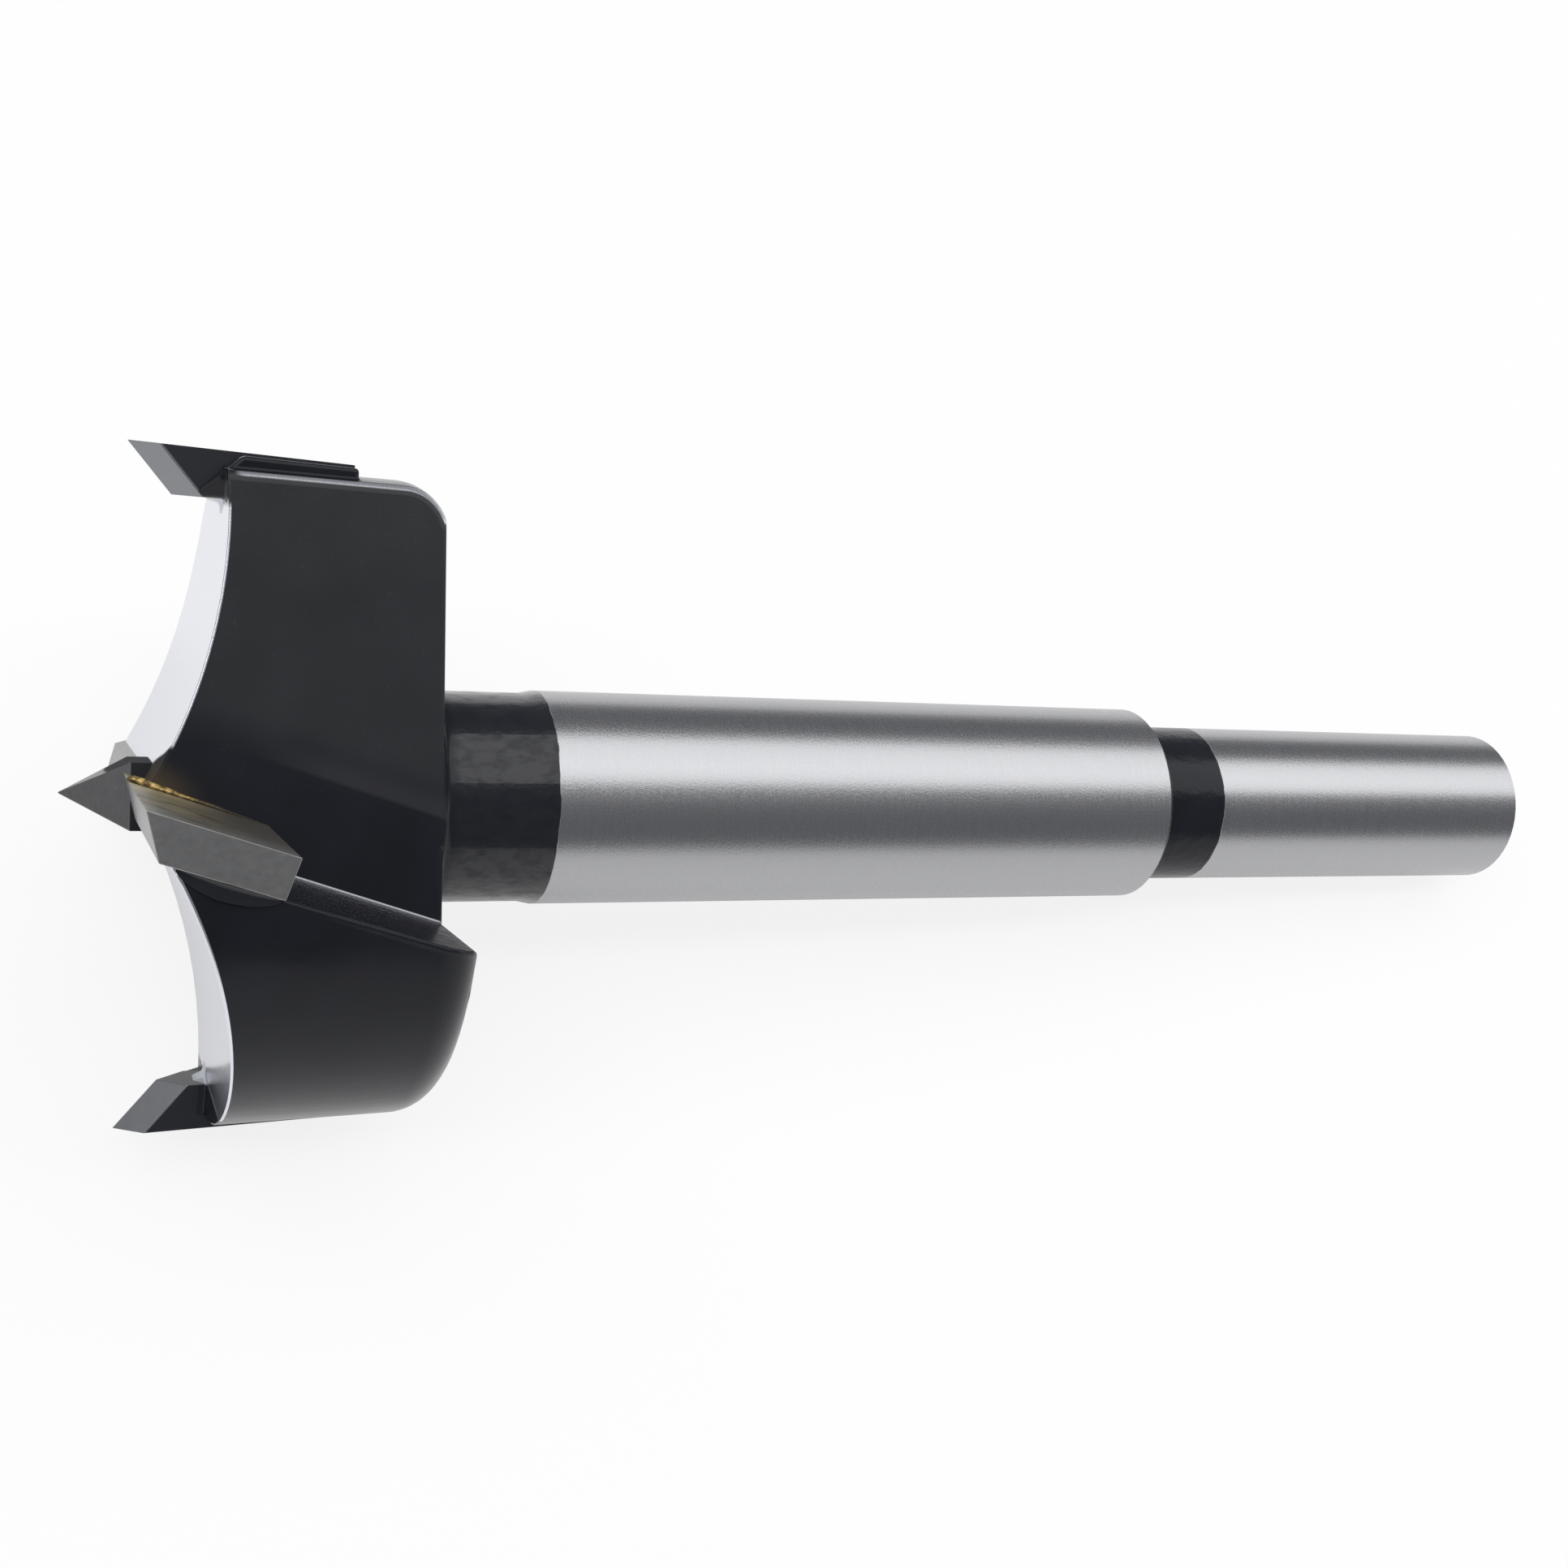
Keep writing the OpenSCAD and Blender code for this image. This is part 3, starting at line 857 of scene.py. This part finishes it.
# %% Colour and metal
STEEL_DARK, STEEL_LIGHT = (0.36, 0.363, 0.375, 1), (0.49, 0.49, 0.50, 1)
BRIGHT_DARK, BRIGHT_LIGHT = (0.72, 0.73, 0.80, 1), (0.84, 0.85, 0.90, 1)
lines = use_group(tree, ground_lines, Place=place)
steel = blend_colour(tree, lines["Tone"], STEEL_DARK, STEEL_LIGHT)
bright = blend_colour(tree, lines["Tone"], BRIGHT_DARK, BRIGHT_LIGHT)
# Bright steel on the hollow faces, and as painted highlights on the wall tops and seat corners.
bare = blend_colour(tree, calc(tree, "MAXIMUM", hollow, painted_edge_highlight), steel, bright)
put(tree, blend_colour(tree, painted, bare, black), shader.inputs["Base Color"])
put(tree, calc(tree, "SUBTRACT", 1.0, painted), shader.inputs["Metallic"])
print("colours, nodes so far:", len(tree.nodes))

# %% Roughness, gloss and bumps
HOLLOW_ROUGH, BURNT_ROUGH, PAINT_SPECULAR = 0.2, 0.9, 0.2
NECK_GLOSS, NECK_RUNS, GLOSS_END = 0.22, 0.33, 29.0
bare_rough = calc(tree, "MULTIPLY_ADD", lines["Rough"], 0.2, 0.17)
rough = blend_value(tree, painted, blend_value(tree, hollow, bare_rough, HOLLOW_ROUGH), skin["Rough"])
put(tree, blend_value(tree, burnt, rough, BURNT_ROUGH), shader.inputs["Roughness"])
shader.inputs["Specular IOR Level"].default_value = PAINT_SPECULAR
runs = step_up(tree, stretched_noise(tree, place, (0.9, 1.6, 1.6), 4.0, 0.6), 0.36, 0.58)
gloss = times(tree, on_neck, painted, calc(tree, "MULTIPLY_ADD", runs, NECK_RUNS, NECK_GLOSS),
              step_up(tree, where["Along"], GLOSS_END + 1.0, GLOSS_END))
put(tree, gloss, shader.inputs["Coat Weight"])
roughen(tree, shader, blend_value(tree, painted, lines["Height"], skin["Height"]), 0.02, 0.6)
painted_body.data.materials.append(body_finish)
print("finish:", body_finish.name, "nodes:", len(tree.nodes))

# %% [markdown]
# ## Gathered paint
# The paint in the corners is the same paint, only thicker. The body's material could be used again,
# but its masks would show bare steel where the fillets touch the hollow. So the skin is used on its own.

# %% Paint of the fillets
paint_finish, tree, shader = new_finish("gathered_paint")
skin = use_group(tree, paint_skin, Place=bit_place(tree), Peel=1.0)
put(tree, skin["Colour"], shader.inputs["Base Color"])
put(tree, skin["Rough"], shader.inputs["Roughness"])
roughen(tree, shader, skin["Height"], 0.02)
for piece in paint_fillets:
    piece.data.materials.append(paint_finish)
print("finish:", paint_finish.name)

# %% [markdown]
# ## What covers the carbide
# The rake faces of the cutters are stained gold and brown by the braze. The spurs are bare on their two
# ground faces only and painted behind them, and the sides of the point's stub are painted too. Three
# materials built from nothing would repeat the carbide. So each cover is a function that takes the
# bare metal's colour and roughness and hands back the covered ones, with how much of it is metal.

# %% Braze stain on the cutters
BROWN_DARK, BROWN_LIGHT, GOLD = (0.09, 0.08, 0.06, 1), (0.28, 0.245, 0.15, 1), (0.37, 0.32, 0.19, 1)
SOOT = (0.10, 0.092, 0.08, 1)


def braze_stain(tree, place, where, colour, rough):
    """Gold beside the wall, brown further out and sooty at the back, in streaks, on the rake face only."""
    streak = stretched_noise(tree, place, (0.35, 1.6, 1.0), 4.0, 0.6)
    from_wall = calc(tree, "SUBTRACT", where["Off Wall"], PASS_OFF)
    reach = calc(tree, "MULTIPLY_ADD", calc(tree, "SUBTRACT", streak, 0.5), 6.0, from_wall)
    stain = times(tree, step_up(tree, where["Above Rake"], -0.12, -0.02), step_up(tree, reach, 14.0, 7.0))
    brown = blend_colour(tree, step_up(tree, streak, 0.38, 0.62), BROWN_DARK, BROWN_LIGHT)
    gold = blend_colour(tree, step_up(tree, reach, 5.0, 0.5), brown, GOLD)
    gold = blend_colour(tree, step_up(tree, where["Along"], 1.5, 5.0), gold, SOOT)
    return blend_colour(tree, stain, colour, gold), rough, calc(tree, "MULTIPLY_ADD", stain, -0.6, 1.0)


print("cover of the cutters: braze_stain")

# %% Paint on the spurs and the point's stub
# The light grey mixed into the spurs' paint is a painted sheen, for spur sides that catch more light.
SPUR_SHEEN_GREY, SPUR_SHEEN_SHARE, STUB_ROUGH = (0.05, 0.052, 0.06, 1), 0.3, 0.9


def paint_border(tree, place):
    """An uneven border for the paint, up to 0.15 mm to both sides."""
    return calc(tree, "MULTIPLY_ADD", stretched_noise(tree, place, (1.3, 1.3, 1.3)), 0.3, -0.15)


def spur_paint(tree, place, where, colour, rough):
    """Paint on all of the spur that lies behind its two ground faces."""
    skin = use_group(tree, paint_skin, Place=place, Peel=0.8)
    behind = calc(tree, "MULTIPLY_ADD", paint_border(tree, place), 0.2, where["Behind Ridge"])
    paint = step_up(tree, behind, 0.06, 0.12)
    # Painted sheen: the spur's paint is made a lighter grey here.
    black = blend_colour(tree, SPUR_SHEEN_SHARE, skin["Colour"], SPUR_SHEEN_GREY)
    return (blend_colour(tree, paint, colour, black), blend_value(tree, paint, rough, skin["Rough"]),
            calc(tree, "SUBTRACT", 1.0, paint))


def stub_paint(tree, place, where, colour, rough):
    """Paint on the stub, and on the rear of the point's upper and lower faces, where z is past y."""
    skin = use_group(tree, paint_skin, Place=place, Peel=0.8)
    split = tree.nodes.new("ShaderNodeSeparateXYZ")
    tree.links.new(place, split.inputs[0])
    sides = calc(tree, "SUBTRACT", calc(tree, "ABSOLUTE", split.outputs["Z"]),
                 calc(tree, "ABSOLUTE", split.outputs["Y"]))
    along = calc(tree, "ADD", where["Along"], paint_border(tree, place))
    paint = times(tree, step_up(tree, sides, 0.0, 0.06), step_up(tree, along, -0.9, -0.7))
    paint = calc(tree, "MAXIMUM", paint, step_up(tree, where["Along"], 0.28, 0.36))
    return (blend_colour(tree, paint, colour, skin["Colour"]), blend_value(tree, paint, rough, STUB_ROUGH),
            calc(tree, "SUBTRACT", 1.0, paint))


print("covers of the spurs and the point: spur_paint, stub_paint")

# %% [markdown]
# ## Carbide
# Cemented carbide is a mid-grey metal with a fine even grain and faint lines from the grinding wheel. A
# plain grey would look like plastic. An even noise gives the grain and a stretched one the lines. Each kind
# of insert has its own two greys, because in the picture the three kinds differ in tone. The carbide is the
# same in all, so the darker greys of the spurs and the point are painted shade.

# %% Carbide finishes
# The spur and point greys are the cutter's carbide made darker: painted shade.
CARBIDE_TONES_WITH_PAINTED_SHADE = {"cutter": ((0.30, 0.30, 0.295, 1), (0.46, 0.46, 0.455, 1)),
                 "spur": ((0.23, 0.235, 0.25, 1), (0.36, 0.367, 0.385, 1)),
                 "point": ((0.20, 0.20, 0.20, 1), (0.30, 0.30, 0.30, 1))}
COVERS = {"cutter": braze_stain, "spur": spur_paint, "point": stub_paint}


def carbide_finish(kind):
    """Ground carbide with the cover of its kind of insert."""
    material, tree, shader = new_finish(kind + "_carbide")
    place = bit_place(tree)
    where = use_group(tree, bit_map, Place=place)
    grain = stretched_noise(tree, place, (14.0, 14.0, 14.0), 3.0, 0.7)
    marks = stretched_noise(tree, place, (2.0, 16.0, 2.0), 2.0, 0.6)
    tone = blend_value(tree, 0.5, grain, marks)
    bare = blend_colour(tree, tone, *CARBIDE_TONES_WITH_PAINTED_SHADE[kind])
    bare_rough = calc(tree, "MULTIPLY_ADD", tone, 0.2, 0.30)
    colour, rough, metal = COVERS[kind](tree, place, where, bare, bare_rough)
    put(tree, colour, shader.inputs["Base Color"])
    put(tree, rough, shader.inputs["Roughness"])
    put(tree, metal, shader.inputs["Metallic"])
    roughen(tree, shader, tone, 0.008, 0.5)
    return material


finishes = {kind: carbide_finish(kind) for kind in COVERS}
for node, piece in inserts.items():
    kind = next(kind for kind in finishes if kind in node)
    piece.data.materials.append(finishes[kind])
print("finishes:", ", ".join(finishes))

# %% [markdown]
# ## Braze
# The braze is a brass-like alloy that froze quickly: gold, a little uneven, and dulled by burnt flux
# towards the back of the joint. One blotchy noise drives its colour, roughness and bumps together,
# because on the real metal the dull spots are also the rough ones.

# %% Gold braze
BRAZE_DARK, BRAZE_GOLD, BRAZE_BURNT = (0.10, 0.07, 0.03, 1), (0.58, 0.42, 0.17, 1), (0.045, 0.04, 0.03, 1)
braze_finish, tree, shader = new_finish("golden_braze")
place = bit_place(tree)
where = use_group(tree, bit_map, Place=place)
blotch = stretched_noise(tree, place, (2.6, 2.6, 2.6), 4.0, 0.65)
gold = blend_colour(tree, step_up(tree, blotch, 0.40, 0.64), BRAZE_DARK, BRAZE_GOLD)
gold = blend_colour(tree, step_up(tree, where["Along"], 1.2, 4.5), gold, BRAZE_BURNT)
put(tree, gold, shader.inputs["Base Color"])
put(tree, calc(tree, "MULTIPLY_ADD", blotch, -0.3, 0.62), shader.inputs["Roughness"])
shader.inputs["Metallic"].default_value = 0.9
roughen(tree, shader, blotch, 0.03)
for piece in braze:
    piece.data.materials.append(braze_finish)
print("finish:", braze_finish.name)

# %% [markdown]
# ## Ground braze at the spurs
# At the spurs the wheel that hollowed the front face also ground the braze, so it shows as a silvery
# metal. It shares the grinding marks of the steel, a little darker and rougher than the hollow.

# %% Silvery braze
SILVER_DARK, SILVER_LIGHT = (0.42, 0.44, 0.50, 1), (0.66, 0.68, 0.74, 1)
silver_finish, tree, shader = new_finish("ground_braze")
lines = use_group(tree, ground_lines, Place=bit_place(tree))
put(tree, blend_colour(tree, lines["Tone"], SILVER_DARK, SILVER_LIGHT), shader.inputs["Base Color"])
put(tree, calc(tree, "MULTIPLY_ADD", lines["Rough"], 0.2, 0.25), shader.inputs["Roughness"])
shader.inputs["Metallic"].default_value = 1.0
roughen(tree, shader, lines["Height"], 0.02)
for piece in root_fillets:
    piece.data.materials.append(silver_finish)
print("finish:", silver_finish.name)

# %% [markdown]
# ## Floor
# The bit lies on a plain white ground. A brighter lamp could make the floor white, but it would wash out
# the bit. So the pale floor is lifted to white for the camera, and less for reflections, by its
# material, and it still takes the shadow.

# %% Pale floor
FLOOR_HALF = 3.0
floor_z = cad_box[0][2]
floor_mesh = bpy.data.meshes.new("floor")
corners = np.array([[-1, -1, 0], [1, -1, 0], [1, 1, 0], [-1, 1, 0]]) * FLOOR_HALF + [0, 0, floor_z]
floor_mesh.from_pydata(corners.tolist(), [], [(0, 1, 2, 3)])
floor = bpy.data.objects.new("floor", floor_mesh)
bpy.context.scene.collection.objects.link(floor)
print("floor at", round(floor_z / MM, 2), "mm")

# %% Floor lifted to white
FLOOR_TONE, LIFT_SEEN, LIFT_REFLECTED = (0.88, 0.88, 0.885, 1), 0.85, 0.5
floor_finish, tree, shader = new_finish("pale_floor")
shader.inputs["Base Color"].default_value = FLOOR_TONE
shader.inputs["Roughness"].default_value = 0.9
shader.inputs["Specular IOR Level"].default_value = 0.2
path = tree.nodes.new("ShaderNodeLightPath")
mirrored = calc(tree, "MAXIMUM", path.outputs["Is Glossy Ray"], path.outputs["Is Transmission Ray"])
seen = calc(tree, "MAXIMUM", times(tree, path.outputs["Is Camera Ray"], LIFT_SEEN),
            times(tree, mirrored, LIFT_REFLECTED))
white = tree.nodes.new("ShaderNodeEmission")
lift = tree.nodes.new("ShaderNodeMixShader")
put(tree, seen, lift.inputs[0])
put(tree, shader.outputs["BSDF"], lift.inputs[1])
put(tree, white.outputs["Emission"], lift.inputs[2])
put(tree, lift.outputs["Shader"], tree.nodes["Material Output"].inputs["Surface"])
floor.data.materials.append(floor_finish)
print("finish:", floor_finish.name)

# %% [markdown]
# ## Light
# Polished steel shows its room: the stem has a bright band above a sharp change to dark. A small lamp would
# give a spot. A wide lamp overhead that ends just in front of the bit gives the band, a brighter strip at
# its near end gives the band its peak, and a grey world fills the rest.

# %% World and lamps
SKY_TONE = (0.20, 0.203, 0.215, 1)
LAMP_HEIGHT, LAMP_NEAR, LAMP_MIDDLE, LAMP_FAR = 0.42, -0.135, -0.065, 0.35
LAMP_LEFT, LAMP_RIGHT = -0.5, 1.1
scene = bpy.context.scene
scene.view_settings.view_transform = "Standard"
world = bpy.data.worlds.new("studio")
scene.world = world
world.use_nodes = True
world.node_tree.nodes["Background"].inputs["Color"].default_value = SKY_TONE


def overhead_lamp(name, near, far, radiance):
    """A level rectangle of light above the bit. Its power is radiance times pi times area."""
    lamp = bpy.data.lights.new(name, "AREA")
    lamp.shape = "RECTANGLE"
    lamp.size, lamp.size_y = LAMP_RIGHT - LAMP_LEFT, far - near
    lamp.energy = radiance * math.pi * lamp.size * lamp.size_y
    piece = bpy.data.objects.new(name, lamp)
    piece.location = ((LAMP_LEFT + LAMP_RIGHT) / 2, (near + far) / 2, LAMP_HEIGHT)
    scene.collection.objects.link(piece)
    print(name, "power:", round(lamp.energy, 2))


overhead_lamp("overhead", LAMP_NEAR, LAMP_FAR, 1.5)
overhead_lamp("overhead_near", LAMP_NEAR, LAMP_MIDDLE, 3.5)

# %% [markdown]
# ## Camera
# The picture was taken from in front of the head, looking back along the stem. A camera could be
# placed by eye. This one was fitted to the picture's outlines in the bit frame, as a place and three
# turns, and is turned with the bit as it lies.

# %% Camera
FOCAL_PX, IMAGE_PX, SENSOR = 2271.3, 1932, 36
VIEW_ROLL = math.radians(6.15)
yaw, pitch, roll = np.radians([22.97, -0.42, -0.55])
eye = np.array([-5.46, -97.82, 0.1])
ahead = np.array([math.sin(yaw), math.cos(yaw), 0])
right = np.array([math.cos(yaw), -math.sin(yaw), 0])
down = np.array([0, 0, -1.0])
ahead, down = (math.cos(pitch) * ahead + math.sin(pitch) * down,
               math.cos(pitch) * down - math.sin(pitch) * ahead)
right, down = (math.cos(roll) * right + math.sin(roll) * down,
               math.cos(roll) * down - math.sin(roll) * right)
turn_back = np.array(Matrix.Rotation(-VIEW_ROLL, 3, "X"))
to_scene = LAY_DOWN @ turn_back
pose = np.eye(4)
pose[:3, :3] = np.stack([to_scene @ right, -(to_scene @ down), -(to_scene @ ahead)], axis=1)
pose[:3, 3] = lay_down([turn_back @ eye])[0]
camera = bpy.data.cameras.new("camera")
camera.sensor_width = SENSOR
camera.lens = SENSOR * FOCAL_PX / IMAGE_PX
camera.clip_start = 0.005
view = bpy.data.objects.new("camera", camera)
view.matrix_world = Matrix(pose.tolist())
scene.collection.objects.link(view)
scene.camera = view
print("camera height above the floor, mm:", round((pose[2, 3] - floor_z) / MM, 1))
